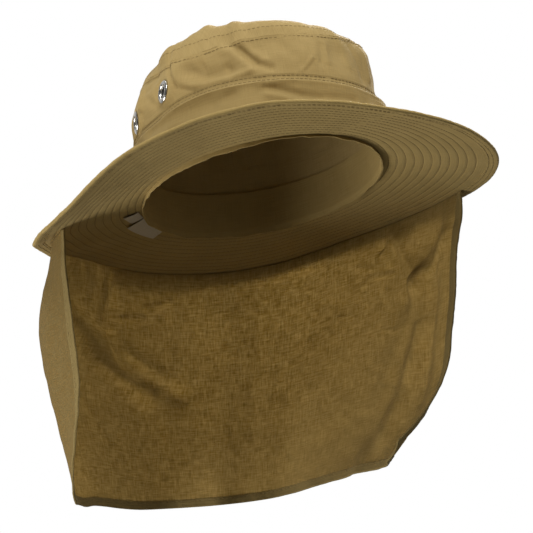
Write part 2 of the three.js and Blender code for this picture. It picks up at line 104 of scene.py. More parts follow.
# Fine folds of the crown wall and of the band: each runs from one angle and
# height to another, with its half width and its rise outwards.
CROWN_FOLDS = [
    (74.5, 90, 72, 74, 5, 3),
    (72, 74, 70.5, 64.5, 5, 3.4),
    (70.5, 64.5, 67, 57, 5, 3.4),
    (67, 57, 62, 52.5, 4.6, 3.2),
    (62, 52.5, 50, 50.5, 4.2, 2.8),
    (50, 50.5, 38, 50.5, 3.6, 2),
    (65.5, 84, 67, 75, 3.5, 1.4),
    (76.5, 84, 74.5, 69, 2.6, -2.4),
    (74.5, 69, 72.5, 58, 2.4, -2.2),
    (69, 54.5, 64.5, 50.5, 2, -1.6),
    (89, 90, 88, 76, 5, -1.6),
    (64.5, 66, 58, 59, 5.5, -3.4),
    (58, 59, 47, 57.5, 5.5, -3.8),
    (59.5, 69.5, 58.5, 66, 2.6, -1.4),
    (47, 61, 43.5, 56, 3, -1.6),
    (49, 74, 43.5, 70.5, 3, 1.2),
    (43.5, 70.5, 36, 53, 3.4, 1.8),
    (45.5, 80, 40, 71.9, 3.4, -2.2),
    (40, 71.9, 33, 57.4, 3.4, -3.4),
    (33, 57.4, 27, 52.4, 3, -2),
    (38, 78, 34.5, 67, 3.4, 1.2),
    (34.5, 67, 29.5, 58.5, 3.4, 1.2),
    (41, 86, 39, 77, 1.6, -0.6),
    (13, 47.5, 6.5, 58, 1.3, 1.1),
    (11.4, 47.5, 5, 58, 1.6, -0.4),
    (359.4, 69.5, 1.8, 55, 2.4, -0.7),
    (356.5, 71, 358, 56, 3, 0.7),
    (22, 74, 16, 61, 5, -1.3),
    (338, 74, 333, 52, 4, -1.2),
    (328, 78, 325, 55, 4, 1.3),
    (346, 78, 344, 58, 4, 0.9),
    (97, 79, 86, 77, 1.8, -1.2),
    (99, 72, 92, 70, 2.2, -0.8),
    (99.5, 74, 98.8, 60, 2.4, 3),
    (94, 64, 86, 52, 3, -1.2),
    (128, 84, 122, 60, 5, -1.5),
    (150, 82, 155, 58, 5, 1.3),
    (190, 80, 184, 56, 6, -1.4),
    (204, 78, 209, 54, 5, 1.2),
    (236, 82, 229, 58, 5, -1.4),
    (262, 78, 268, 72, 5, 1),
    (292, 80, 285, 74, 4, -1),
    (311, 72, 310, 60, 7, -1.2),
    (321, 84, 321, 77, 5, 1.5),
]
BAND_FOLDS = [
    (32, 37.5, 24, 39.6, 3, 1.8),
    (24, 39.6, 14, 40.6, 3, 1.8),
    (14, 40.6, 345, 40.6, 3.2, 1.8),
    (345, 40.6, 318, 39.5, 3.2, 1.6),
    (30.5, 35.5, 22.5, 30.6, 3, -2.4),
    (22.5, 30.6, 15, 26.6, 3.2, -2.6),
    (15, 26.6, 6, 24.6, 3.4, -2.4),
    (6, 24.6, 348, 25.5, 4, -1.8),
    (30, 29.5, 20, 23.5, 3.2, 1.6),
    (20, 23.5, 10, 19.5, 3.4, 1.6),
    (10, 19.5, 352, 17, 3.6, 1.2),
    (82, 42, 54, 42.5, 2.6, 1.6),
    (54, 42.5, 32, 40.5, 2.6, 1.4),
    (90, 35, 70, 35, 5, -2.2),
    (70, 35, 54, 33, 5.5, -2.6),
    (54, 33, 45, 35.5, 4, -2.2),
    (66, 24, 44, 22, 6, 1.2),
    (336, 24, 320, 20, 5, 1.2),
    (110, 41, 92, 24, 4, -1.2),
    (140, 42, 158, 20, 5, -1.5),
    (182, 40, 170, 18, 5, 1.3),
    (205, 42, 222, 22, 4, -1.5),
    (246, 38, 232, 18, 5, 1.2),
    (262, 42, 280, 22, 4, -1.3),
    (300, 40, 290, 20, 4, 1.1),
]
# Bumps of the crown top: at, share of the way in, wide (degrees), deep, rise
TOP_BUMPS = [
    (96, 0.08, 8, 0.08, -3),
    (86, 0.05, 4, 0.05, 1.4),
    (79, 0.05, 4, 0.05, 1.8),
    (72, 0.14, 5, 0.1, -3.2),
    (57, 0.19, 5, 0.12, 2.2),
    (50, 0.2, 4, 0.1, -1),
    (41, 0.17, 4, 0.12, 1.2),
    (25, 0.06, 7, 0.1, 0.9),
    (78, 0.22, 5, 0.08, -1.8),
    (338, 0.05, 8, 0.08, -1.8),
    (358, 0.12, 5, 0.1, -1.2),
    (318, 0.05, 6, 0.09, -1),
    (130, 0.1, 9, 0.12, -1.6),
    (160, 0.1, 10, 0.12, 1.3),
    (200, 0.08, 10, 0.12, -1.3),
    (235, 0.1, 10, 0.12, 1.4),
    (270, 0.08, 9, 0.12, -1.1),
]

# Along the flap, from 0 at its right end to 1 at its left: how far its seam lies in from
# the brim's edge, how long it hangs, and the stations of FLAP_HANG.
FLAP_SEAM_PLACES, FLAP_SEAM_INSETS = [0, 0.1, 0.2, 1], [21, 15, 11.5, 11.5]
FLAP_LENGTH_PLACES = [0, 0.02, 0.06, 0.3, 0.5, 0.7, 0.94, 0.98, 1]
FLAP_LENGTHS = [176, 188, 195, 189, 185, 191, 203, 200, 190]
FLAP_STATIONS = [0, 0.1, 0.3, 0.55, 0.8, 1]
# down, then how far the flap hangs outwards at each station
FLAP_HANG = np.array([
    (0, 0, 0, 0, 0, 0, 0),
    (0.1, -1, 3, 1, 0, -1, -0.2),
    (0.25, -3.5, 8, 2, 0, -2, -5),
    (0.4, -7.3, 7.5, 2, -2, -4, -6.2),
    (0.55, -11, 2.5, 0, -5, -8, -9),
    (0.7, -12.2, -5.5, -4, -9, -13, -13.2),
    (0.85, -9, -12.5, -9, -14, -22, -28),
    (1, -7.5, -20, -14, -18, -40, -54.5),
])
# from along, from down, to along, to down, half width, rise outwards. A row that starts where
# the row before it ends carries that fold on.
FLAP_FOLDS = [
    (0.235, 0.24, 0.4, 0.45, 11, -6.5),
    (0.22, 0.06, 0.21, 0.4, 10, 3),
    (0.36, 0.5, 0.4, 1, 22, 5),
    (0.52, 0.2, 0.5, 1, 20, -6),
    (0.64, 0.1, 0.62, 1, 20, 5),
    (0.97, 0.16, 0.9, 0.275, 9, -3),
    (0.833, 0.04, 0.884, 0.29, 11, -4),
    (0.884, 0.29, 0.83, 0.67, 13, -6),
    (0.83, 0.67, 0.81, 1, 14, -6),
    # the finer ones, which the solids leave out
    (0.334, 0.01, 0.327, 0.16, 4.5, 3.6),
    (0.327, 0.16, 0.318, 0.26, 5, 4.2),
    (0.318, 0.26, 0.335, 0.365, 6, 5.4),
    (0.335, 0.365, 0.38, 0.43, 7, 6),
    (0.38, 0.43, 0.44, 0.52, 8, 5.5),
    (0.316, 0.01, 0.309, 0.14, 4.5, -2.4),
    (0.309, 0.14, 0.3, 0.22, 4.5, -2.2),
    (0.215, 0.25, 0.26, 0.33, 8, -4),
    (0.26, 0.33, 0.32, 0.425, 8, -5),
    (0.32, 0.425, 0.39, 0.52, 9, -5),
    (0.345, 0, 0.335, 0.26, 18, 3),
    (0.335, 0.02, 0.375, 0.025, 2.5, -1.2),
    (0.343, 0.205, 0.38, 0.19, 2.4, -1.6),
    (0.388, 0.145, 0.426, 0.118, 2.6, -1.8),
    (0.29, 0.05, 0.27, 0.2, 6, -1.6),
    (0.24, 0.45, 0.3, 0.7, 7, 1.6),
    (0.44, 0.05, 0.42, 0.5, 6, -1.2),
    (0.58, 0.1, 0.56, 0.7, 7, 1.4),
    (0.7, 0.05, 0.72, 0.5, 6, -1.3),
    (0.818, 0.01, 0.858, 0.18, 4.5, -2.2),
    (0.858, 0.18, 0.895, 0.275, 4.5, -1.8),
    (0.895, 0.275, 0.909, 0.463, 10, -7),
    (0.909, 0.463, 0.886, 0.647, 12, -8.5),
    (0.886, 0.647, 0.86, 0.85, 13, -7.5),
    (0.862, 0.36, 0.862, 0.463, 10, 3.4),
    (0.862, 0.463, 0.84, 0.647, 11, 3.6),
    (0.84, 0.647, 0.818, 0.85, 11, 3),
    (0.8, 0.03, 0.797, 0.09, 4, 1.5),
    (0.797, 0.09, 0.815, 0.15, 4, -1.4),
    (0.98, 0.135, 0.96, 0.2, 3, -1.6),
    (0.96, 0.2, 0.927, 0.25, 3, -1.3),
    (0.754, 0.22, 0.77, 0.191, 2, -0.8),
    (0.77, 0.191, 0.823, 0.204, 2, -1.0),
    (0.708, 0.311, 0.737, 0.324, 1.3, -0.7),
    (0.745, 0.134, 0.777, 0.154, 2.2, -0.7),
    (0.803, 0.418, 0.85, 0.452, 1.8, -0.6),
    (0.951, 0.284, 0.963, 0.258, 2, -1.0),
    (0.92, 0.56, 0.925, 0.76, 5, 1.6),
    (0.06, 0.3, 0.09, 0.75, 6, 1.2),
    (0.11, 0.15, 0.13, 0.5, 5, 1.0),
    (0.965, 0.04, 0.965, 1, 12, -5),
    (1, 0.04, 1, 1, 8, 1.4),
    (0.86, 0.8, 0.84, 1, 15, -2),
    (0.945, 0.36, 0.93, 0.62, 8, 1.6),
    (0.14, 0.34, 0.3, 0.6, 11, 2),
]

VENT_HOLE, EYELET_REACH = 5.75, 13  # radii of the hole and of the cloth that it pulls flat
# radius and height over the cloth, round the ring's section
EYELET_SECTION = [(5.1, -2.6), (7.0, -2.6), (7.0, -2.2), (5.5, -2.1), (5.5, 0.4), (8.2, 0.45), (8.55, 0.65)]
EYELET_SECTION += [(8.4, 1.0), (7.6, 1.45), (6.7, 1.65), (5.9, 1.5), (5.3, 1.0), (5.05, 0.2), (5.0, -1.2)]
# at, height, then degrees turned on round the hat and tilted upwards
EYELETS = {
    "eyelet_right_front": (80.3, 59.4, 9, 9),
    "eyelet_right_rear": (106.5, 54.2, 10, 8),
    "eyelet_left_rear": (262, 58, 0, 0),
    "eyelet_left_front": (287, 60, 0, 0),
}
# angle and distance out on the brim of each corner: the sewn edge, then the free one back
TAGS = {
    "care_tag_small": (127, 3, 135, 1.2, 137, 11.1, 128.2, 15.1),
    "care_tag_large": (136, 1.2, 158.8, 1.2, 161.5, 15.3, 141.5, 17.3),
}

# in metres and degrees
FLOOR_HEIGHT = -1.6
CAMERA_AZIMUTH, CAMERA_ELEVATION, CAMERA_DISTANCE = -32, -5, 1.8
CAMERA_AIM = (0.00394, -0.0602)  # to the right of the hat's origin, and above it
CAMERA_LENS, CAMERA_SENSOR = 164.8368, 36  # in millimetres

# ---- small mathematics


def round_curve(values):
    """Smooth closed curve through values evenly spaced round the hat."""
    values = np.array(values, float)
    n = len(values)

    def curve(angle):
        place = (np.asarray(angle, float) / 360 * n) % n
        i = np.floor(place).astype(int)
        f = place - i
        a, b, c, d = (values[(i + k) % n] for k in (-1, 0, 1, 2))
        return b + 0.5 * f * (c - a + f * (2 * a - 5 * b + 4 * c - d + f * (3 * (b - c) + d - a)))

    return curve


def hermite(x, places, values):
    """Smooth curve through the places and values, flat beyond its ends. Values may be arrays."""
    last = len(places) - 1
    slopes = []
    for i in range(last + 1):
        p, q = max(i - 1, 0), min(i + 1, last)
        slopes.append((values[q] - values[p]) / (places[q] - places[p]))
    out = np.where(x >= places[last], values[last], values[0])
    for i in range(last):
        width = places[i + 1] - places[i]
        f = (x - places[i]) / width
        y = (
            values[i] * (2 * f**3 - 3 * f**2 + 1)
            + values[i + 1] * (3 * f**2 - 2 * f**3)
            + slopes[i] * width * (f**3 - 2 * f**2 + f)
            + slopes[i + 1] * width * (f**3 - f**2)
        )
        out = np.where((x >= places[i]) & (x < places[i + 1]), y, out)
    return out


def turn(angle, at):
    """Degrees from at to angle, the short way."""
    return (angle - at + 540) % 360 - 180


def bumps(rows, angle, height):
    """The sum of the table's round bumps at an angle and a height."""
    return sum(
        depth * np.exp(-((turn(angle, at) / wide) ** 2) - ((height - level) / tall) ** 2)
        for at, level, wide, tall, depth in rows
    )


def ridges(rows, across, up, to_x, to_y, wrap=False):
    """Soft ridges between pairs of places, whose units to_x and to_y turn into millimetres.

    A row that starts where the one before it ends carries that ridge on.
    """

    def apart(a, b):
        return (turn(a, b) if wrap else a - b) * to_x

    total, ridge, end = 0, 0, None
    for x0, y0, x1, y1, wide, rise in rows:
        dx, dy = apart(x1, x0), (y1 - y0) * to_y
        x, y = apart(across, x0), (up - y0) * to_y
        share = np.clip((x * dx + y * dy) / (dx * dx + dy * dy), 0, 1)
        part = rise * np.exp(-((x - share * dx) ** 2 + (y - share * dy) ** 2) / wide**2)
        if (x0, y0) == end:
            ridge = np.where(np.abs(part) > np.abs(ridge), part, ridge)
        else:
            total, ridge = total + ridge, part
        end = (x1, y1)
    return total + ridge


def noise(points, size, seed):
    """Smooth noise from -1 to 1 with features of the given size."""
    table = np.random.default_rng(seed).uniform(-1, 1, 4096)
    cell = np.floor(points / size).astype(np.int64)
    f = points / size - cell
    f = f * f * (3 - 2 * f)
    total = 0
    for corner in np.ndindex(2, 2, 2):
        x, y, z = np.moveaxis((cell + corner) * (73856093, 19349663, 83492791), -1, 0)
        total = total + table[(x ^ y ^ z) % 4096] * np.where(corner, f, 1 - f).prod(-1)
    return total


def unit(v):
    return v / np.maximum(np.linalg.norm(v, axis=-1, keepdims=True), 1e-12)


def ramp(value, width):
    """From 0 to 1 while the value goes from 0 to the width."""
    return np.clip(value / width, 0, 1)


def bell(value, width):
    """1 where the value is 0, and less on either side of it."""
    return np.exp(-((value / width) ** 2))


def tipped(p):
    """From the hat's own frame to the row's."""
    c, s = math.cos(TIP_BACK), math.sin(TIP_BACK)
    return np.stack([p[..., 0], p[..., 1] * c + p[..., 2] * s, p[..., 2] * c - p[..., 1] * s], -1)


# ---- hat surfaces

brim_round = round_curve(BRIM_EDGE)
band_rise = round_curve(BAND_TOP)
top_seam = round_curve(TOP_SEAM)
top_shoulder = round_curve(TOP_SHOULDER)


def band_edge(angle):
    """Height of the band's top edge."""
    return BAND_HEIGHT + band_rise(angle)


def oval_normal(angle, side=SIDE, front=FRONT):
    """Level direction out of an oval with the given half axes."""
    t = np.radians(angle)
    return unit(np.stack([-np.sin(t) / side, -np.cos(t) / front, 0 * t], -1))


def crown_section(height):
    """Half axes of the crown's oval, side and front, and its shift in X and Y."""
    return [hermite(height, CROWN_SECTIONS[:, 0], CROWN_SECTIONS[:, k]) for k in (1, 2, 3, 4)]


def crown_normal(angle, height):
    return oval_normal(angle, *crown_section(height)[:2])


def crown_point(angle, height, out=0.0):
    """A point of the crown wall in the hat's frame."""
    angle, height = np.broadcast_arrays(angle, height)
    t = np.radians(angle)
    side, front, shift_x, shift_y = crown_section(height)
    folds = ridges(CROWN_FOLDS, angle, height, ARC, 1, wrap=True) * ramp(height - band_edge(angle), 4)
    stand = out - bumps(CROWN_DENTS, angle, height) + folds
    middle = np.stack([-side * np.sin(t) + shift_x, -front * np.cos(t) + shift_y, height], -1)
    return middle + oval_normal(angle, side, front) * stand[..., None]


def brim_point(angle, along, above=0.0):
    """A point of the brim in the hat's frame, above its middle layer."""
    angle, along = np.broadcast_arrays(angle, along)
    t = np.radians(angle)
    drop = brim_round(angle) + sum(down * bell(turn(angle, at), wide) for at, wide, down in BRIM_DIPS)
    reach = np.sqrt(BRIM_WIDTH**2 - drop**2)
    share = np.maximum(along, 1e-6) / BRIM_WIDTH
    slope = np.arctan(BRIM_DROOP * drop * share ** (BRIM_DROOP - 1) / reach)
    height = -drop * share**BRIM_DROOP + above * np.cos(slope)
    inner = np.stack([-SIDE * np.sin(t), -FRONT * np.cos(t), height], -1)
    return inner + oval_normal(angle) * (reach * share + above * np.sin(slope))[..., None]


def ripple(base):
    """The brim's soft waves, which its binding, its stitches and the flap's seam follow."""
    return 0.5 * noise(base, 30, 41) + 0.22 * noise(base, 11, 42)


def flap_angle(along):
    return FLAP_FROM + (FLAP_TO - FLAP_FROM) * along


def flap_seam(along):
    """How far out on the brim the flap is sewn."""
    return BRIM_WIDTH - hermite(along, FLAP_SEAM_PLACES, FLAP_SEAM_INSETS)


def flap_place(along, down):
    """A point of the flap's middle layer, in the row's frame."""
    along, down = np.broadcast_arrays(along, down)
    angle = flap_angle(along)
    seam = tipped(brim_point(angle, flap_seam(along), -BRIM_THICK / 2 - FLAP_SEAM_GAP))
    curves = [hermite(down, FLAP_HANG[:, 0], hang) for hang in FLAP_HANG[:, 1:].T]
    hang = hermite(along, FLAP_STATIONS, curves)
    out = hang + ridges(FLAP_FOLDS, along, down, FLAP_WIDTH, FLAP_DEPTH) * ramp(down, 0.08)
    place = seam + oval_normal(angle) * out[..., None]
    place[..., 2] -= hermite(along, FLAP_LENGTH_PLACES, FLAP_LENGTHS) * down
    return place


# ---- eyelet seats


def wall_frame(at, level, on, tilt):
    """Origin, two directions along an eyelet and its outward normal, in the row's frame."""
    step = 0.5
    around, upwards = np.array([(0, 0), (step, 0), (-step, 0), (0, step), (0, -step)]).T
    origin, ahead, behind, over, under = tipped(crown_point(at + around, level + upwards))
    up = unit(over - under)
    normal = unit(np.cross(up, unit(ahead - behind)))
    if normal @ tipped(oval_normal(at)) < 0:
        normal = -normal
    right = unit(np.cross(up, normal))
    normal = unit(normal - right * math.tan(math.radians(on)) + up * math.tan(math.radians(tilt)))
    right = unit(np.cross(up, normal))
    return origin, right, np.cross(normal, right), normal


seats = {name: wall_frame(*place) for name, place in EYELETS.items()}

# ---- meshes


def mesh_object(name, points, faces, cloth=None, smooth_angle=50):
    """A mesh from points in millimetres. cloth has each face corner's place on the cloth, in metres."""
    me = bpy.data.meshes.new(name)
    me.from_pydata((np.asarray(points) * 0.001).tolist(), [], faces)
    if cloth is not None:
        layer = me.uv_layers.new(name="cloth")
        layer.data.foreach_set("uv", np.asarray(cloth, np.float32).ravel())
    shade(me, smooth_angle)
    me.validate()
    ob = bpy.data.objects.new(name, me)
    bpy.context.collection.objects.link(ob)
    return ob


def shade(me, smooth_angle=50):
    """Smooth shading, but for edges sharper than the angle in degrees."""
    me.polygons.foreach_set("use_smooth", np.ones(len(me.polygons), bool))
    me.set_sharp_from_angle(angle=math.radians(smooth_angle))


def dress(ob, material, slot, *nodes):
    ob.data.materials.append(material)
    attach(ob, "root")
    if nodes:
        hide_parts(*nodes)
    return ob


def cloth_grid(along, down):
    """Places on the cloth in metres, from grids in millimetres."""
    return np.stack([along, down], -1) * 0.001


def round_cloth(arc, down):
    """Places on cloth that goes round the hat, arc millimetres to a degree, closed on itself."""
    rows, columns = down.shape
    along = np.arange(columns + 1) * 360 / columns * arc
    return cloth_grid(np.broadcast_to(along, (rows, columns + 1)), np.append(down, down[:, :1], 1))


def shell(name, face, back, cloth, loop=False, capped=False):
    """A closed sheet between two grids of points. capped ends in its last row's middle point."""
    rows, across = face.shape[:2]
    columns = across if loop else across - 1
    full = rows - 1 if capped else rows  # rows whose points stay apart
    size = full * across + int(capped)
    points, faces, uv = [], [], []
    for grid in (face, back):
        points.append(grid[:full].reshape(-1, 3))
        if capped:
            points.append(grid[-1].mean(0)[None])

    def add(corners, places):
        faces.extend(np.stack(corners, 1).tolist())
        uv.append(np.stack(places, 1).reshape(-1, 2))

    def strip(p, q, at_p, at_q):
        """Joins the two layers along an edge, from each point of p to that of q."""
        add([p, q, q + size, p + size], [at_p, at_q, at_q, at_p])

    i, j = (n.ravel() for n in np.meshgrid(np.arange(columns), np.arange(full - 1)))
    k = (i + 1) % across
    a, b, c, d = j * across + i, (j + 1) * across + i, (j + 1) * across + k, j * across + k
    at_a, at_b, at_c, at_d = cloth[j, i], cloth[j + 1, i], cloth[j + 1, i + 1], cloth[j, i + 1]
    add([a, b, c, d], [at_a, at_b, at_c, at_d])
    add([a + size, d + size, c + size, b + size], [at_a, at_d, at_c, at_b])

    i = np.arange(columns)
    k = (i + 1) % across
    strip(i, k, cloth[0, i], cloth[0, i + 1])
    low = (full - 1) * across  # the first point of the last full row
    if capped:
        tip = np.full(columns, full * across)
        near, far, middle = cloth[full - 1, i], cloth[full - 1, i + 1], cloth[full, i]
        add([low + i, tip, low + k], [near, middle, far])
        add([low + i + size, low + k + size, tip + size], [near, far, middle])
    else:
        strip(low + k, low + i, cloth[-1, i + 1], cloth[-1, i])
    if not loop:
        j = np.arange(full - 1)
        left, right = j * across, j * across + across - 1
        strip(left + across, left, cloth[j + 1, 0], cloth[j, 0])
        strip(right, right + across, cloth[j, -1], cloth[j + 1, -1])
    return mesh_object(name, np.concatenate(points), faces, np.concatenate(uv))


def tube(name, grid, length, girth, loop=True):
    """A closed skin from sections: grid is section points x places along. Open ends are capped.

    Its cloth is length millimetres long and girth millimetres round the section.
    """
    n, count = grid.shape[:2]
    cloth = cloth_grid(*np.meshgrid(np.linspace(0, length, count + 1), np.linspace(0, girth, n + 1)))
    steps = count if loop else count - 1
    j, i = (m.ravel() for m in np.meshgrid(np.arange(n), np.arange(steps), indexing="ij"))
    k, m = (i + 1) % count, (j + 1) % n
    faces = np.stack([j * count + i, m * count + i, m * count + k, j * count + k], 1).tolist()
    corners = [cloth[j, i], cloth[j + 1, i], cloth[j + 1, i + 1], cloth[j, i + 1]]
    uv = [np.stack(corners, 1).reshape(-1, 2)]
    if not loop:
        first = np.arange(n) * count
        faces += [first[::-1].tolist(), (first + count - 1).tolist()]
        uv += [cloth[:n, 0][::-1], cloth[:n, -1]]
    return mesh_object(name, grid.reshape(-1, 3), faces, np.concatenate(uv))


def folded_over(lower, roll):
    """A binding's section: its lower half, its rolled edge, and the lower half mirrored."""
    return lower + roll + [(place, -above) for place, above in lower[::-1]]


class Strands:
    """Four-sided threads or wires with closed ends, collected into one mesh."""

    smooth_angle = 50

    def __init__(self):
        self.points, self.faces, self.count = [], [], 0

    def add(self, centre, across, normal, turned=0.0):
        """Adds strands from their centres, strands x stations, and half widths in two directions."""
        sides = turned + np.arange(4) * math.pi / 2
        rings = np.stack([centre + across * math.cos(a) + normal * math.sin(a) for a in sides], 2)
        strands, stations = rings.shape[:2]
        first = self.count + np.arange(strands)[:, None] * stations * 4
        for start in range(0, (stations - 1) * 4, 4):
            for k in range(4):
                m = (k + 1) % 4
                self.faces.append(first + start + (k, m, m + 4, k + 4))
        self.faces.append(first + (3, 2, 1, 0))
        self.faces.append(first + (stations - 1) * 4 + (0, 1, 2, 3))
        self.points.append(rings.reshape(-1, 3))
        self.count += strands * stations * 4

    def make(self, name, material, slot):
        points, faces = np.concatenate(self.points), np.concatenate(self.faces).tolist()
        return dress(mesh_object(name, points, faces, smooth_angle=self.smooth_angle), material, slot)


class Stitches(Strands):
    """Rows of sewing."""

    smooth_angle = 70

    def __init__(self, radius=0.28, length=2.7, gap=0.7):
        super().__init__()
        self.radius, self.length, self.gap, self.rows = radius, length, gap, 0

    def row(self, path, normals):
        """Sews along a path of points whose normals point out of the cloth."""
        step = np.linalg.norm(np.diff(path, axis=0), axis=1)
        run = np.concatenate([[0], np.cumsum(step)])
        pitch = self.length + self.gap
        self.rows += 1
        # each row starts at another share of a stitch, so that no lines form across the rows
        starts = np.arange(self.rows * 0.618 % 1 * pitch, run[-1] - self.length, pitch)
        at = starts[:, None] + np.array([0, 0.22, 0.78, 1]) * self.length
        lift = np.array([-0.9, 0.35, 0.35, -0.9]) * self.radius

        def along(values):
            return np.stack([np.interp(at, run, values[:, k]) for k in range(3)], -1)

        centre, normal = along(path), unit(along(normals))
        across = unit(np.cross(normal, unit(np.gradient(centre, axis=1))))
        self.add(centre + normal * lift[:, None], across * self.radius, normal * 0.75 * self.radius)


# ---- materials


def feed(tree, sockets, values):
    """Gives sockets their numbers and colours, or links them to other nodes' outputs."""
    for key, value in values.items():
        if isinstance(value, bpy.types.NodeSocket):
            tree.links.new(value, sockets[key])
        else:
            sockets[key].default_value = value


def node(tree, kind, inputs=None, **settings):
    made = tree.nodes.new(kind)
    for key, value in settings.items():
        setattr(made, key, value)
    feed(tree, made.inputs, inputs or {})
    return made


def mathed(tree, operation, a, b):
    return node(tree, "ShaderNodeMath", {0: a, 1: b}, operation=operation).outputs[0]


def ranged(tree, inputs):
    return node(tree, "ShaderNodeMapRange", inputs).outputs[0]


def stretched_noise(tree, source, scale, detail):
    place = node(tree, "ShaderNodeVectorMath", {0: source, 1: scale}, operation="MULTIPLY")
    inputs = {"Vector": place.outputs[0], "Scale": 1.0, "Detail": detail, "Roughness": 0.55}
    return node(tree, "ShaderNodeTexNoise", inputs).outputs["Fac"]


def blended(tree, share, none, full):
    """The first colour where the share is 0 and the second where it is 1."""
    inputs = {0: share, 6: (*none, 1), 7: (*full, 1)}
    return node(tree, "ShaderNodeMix", inputs, data_type="RGBA").outputs[2]


def mixed_shaders(tree, share, first, second, output):
    """Sends to the output the first shader where the share is 0 and the second where it is 1."""
    mix = node(tree, "ShaderNodeMixShader", {0: share, 1: first.outputs[0], 2: second.outputs[0]})
    tree.links.new(mix.outputs[0], tree.nodes[output].inputs["Surface"])


def new_material(name):
    material = bpy.data.materials.new(name)
    material.use_nodes = True
    tree = material.node_tree
    return material, tree, tree.nodes["Principled BSDF"]


def woven(tree, thread, slub, slubs, soft, spread):
    """Sockets with a weave's tone, from 0 to 1 and with soft clouds, and with its height."""
    uv = node(tree, "ShaderNodeUVMap", uv_map="cloth").outputs[0]
    coords = node(tree, "ShaderNodeTexCoord").outputs["Object"]
    fine, long_ = 1000 / thread, 1000 / slub
    pairs = []
    for thin, slow in ((fine, long_), (fine / 2, long_ / 2)):
        warp = stretched_noise(tree, uv, (thin, slow, 1), 1.0)
        weft = stretched_noise(tree, uv, (slow, thin, 1), 1.0)
        pairs.append(mathed(tree, "ADD", warp, weft))
    threads, slubbed = pairs
    mottle = stretched_noise(tree, coords, (45, 45, 45), 3.0)
    patch = stretched_noise(tree, coords, (14, 14, 14), 2.0)
    clouds = mathed(tree, "MULTIPLY", mathed(tree, "ADD", mottle, patch), soft)
    half = mathed(tree, "MULTIPLY", threads, 0.5)
    both = mathed(tree, "ADD", half, mathed(tree, "MULTIPLY", slubbed, slubs * 0.5))
    total, middle = mathed(tree, "ADD", both, clouds), 0.5 + slubs * 0.5 + soft
    tone = ranged(tree, {"Value": total, "From Min": middle - spread, "From Max": middle + spread})
    return tone, mathed(tree, "ADD", threads, slubbed)


def cloth(
    name, dark, light, thread=0.55, slub=14, slubs=0.5, bump=0.25, soft=0.6, spread=0.42, through=0, glow=None
):
    """Matt woven cloth.

    thread is a thread's width and slub a slub's length, in millimetres. slubs and soft weigh the
    slubs and the soft clouds, spread is how wide the range of tones is and bump the relief. The
    share through of the light passes the cloth, in the glow colours of its dark and light places.
    """
    material, tree, shader = new_material(name)
    tone, height = woven(tree, thread, slub, slubs, soft, spread)
    relief = node(tree, "ShaderNodeBump", {"Strength": bump, "Distance": 0.0004, "Height": height})
    surface = {"Base Color": blended(tree, tone, dark, light), "Normal": relief.outputs[0]}
    surface |= {"Roughness": 0.88, "Specular IOR Level": 0.2}
    surface |= {"Sheen Weight": 0.06, "Sheen Tint": (0.95, 0.78, 0.45, 1), "Sheen Roughness": 0.5}
    feed(tree, shader.inputs, surface)
    if through:
        passed = {"Color": blended(tree, tone, *glow), "Normal": relief.outputs[0]}
        back = node(tree, "ShaderNodeBsdfTranslucent", passed)
        mixed_shaders(tree, through, shader, back, "Material Output")
    return material


def metal(name, colour, roughness):
    """Bright metal, a little smeared."""
    material, tree, shader = new_material(name)
    coords = node(tree, "ShaderNodeTexCoord").outputs["Object"]
    smear = stretched_noise(tree, coords, (900, 900, 900), 2.0)
    rough = ranged(tree, {"Value": smear, "To Min": roughness * 0.7, "To Max": roughness * 1.4})
    feed(tree, shader.inputs, {"Base Color": (*colour, 1), "Metallic": 1.0, "Roughness": rough})
    return material


CROWN = cloth("crown_cloth", (0.292, 0.202, 0.073), (0.392, 0.280, 0.109))
# painted shade: the band is of the crown's own cloth, painted darker for the shade the band lies in
BAND = cloth("band_cloth", (0.240, 0.164, 0.056), (0.322, 0.227, 0.084))
# painted shade: the crown's cloth, painted a touch darker and yellower for the warm shade under the brim
BRIM = cloth("brim_cloth", (0.285, 0.196, 0.064), (0.380, 0.269, 0.096))
FLAP = cloth(
    "flap_cloth",
    (0.222, 0.153, 0.049),
    (0.340, 0.245, 0.092),
    thread=0.8,
    slub=7,
    slubs=1.2,
    bump=0.35,
    soft=0.15,
    spread=0.3,
    through=0.5,
    glow=((0.86, 0.69, 0.39), (0.43, 0.315, 0.10)),
)
# painted shade: painted darker than the flap's cloth, for the shade on the binding's inner side
FLAP_EDGING = cloth(
    "flap_edge_cloth",
    (0.172, 0.121, 0.039),
    (0.238, 0.170, 0.060),
    thread=0.7,
    through=0.04,
    glow=((0.45, 0.32, 0.13), (0.3, 0.2, 0.07)),
)
# painted shade: the thread is tone on tone with the cloth, painted darker for the shade in the stitch holes
THREAD = cloth("thread", (0.180, 0.122, 0.042), (0.240, 0.165, 0.061), bump=0.1)
# painted shade: darker still, for the shade in the quilting grooves
BRIM_THREAD = cloth("brim_thread", (0.158, 0.108, 0.038), (0.208, 0.143, 0.053), bump=0.1)
# painted shade: the tags are white, painted a dull brown for the shade and the light off the khaki cloth
# under the brim
TAG = cloth("tag_cloth", (0.42, 0.36, 0.26), (0.50, 0.43, 0.32), thread=0.3, slub=3, bump=0.08)
NICKEL = metal("nickel", (0.66, 0.65, 0.62), 0.22)
WIRE = metal("wire", (0.13, 0.125, 0.112), 0.35)

# ---- crown

ROUND = 400
angles = np.arange(ROUND) * 360 / ROUND
WALL_FOOT = BRIM_THICK / 2 + GAP


def settled(points, depth):
    """Lays the cloth round each eyelet flat, at the given depth below the eyelet's flange."""
    for origin, _, _, normal in seats.values():
        off = points - origin
        high = off @ normal
        far = np.linalg.norm(off - high[..., None] * normal, axis=-1)
        share = ramp(EYELET_REACH - far, 4)
        share = share * share * (3 - 2 * share) * (np.abs(high) < 25)  # not the wall across the hat
        points = points - normal * ((high + depth) * share)[..., None]
    return points


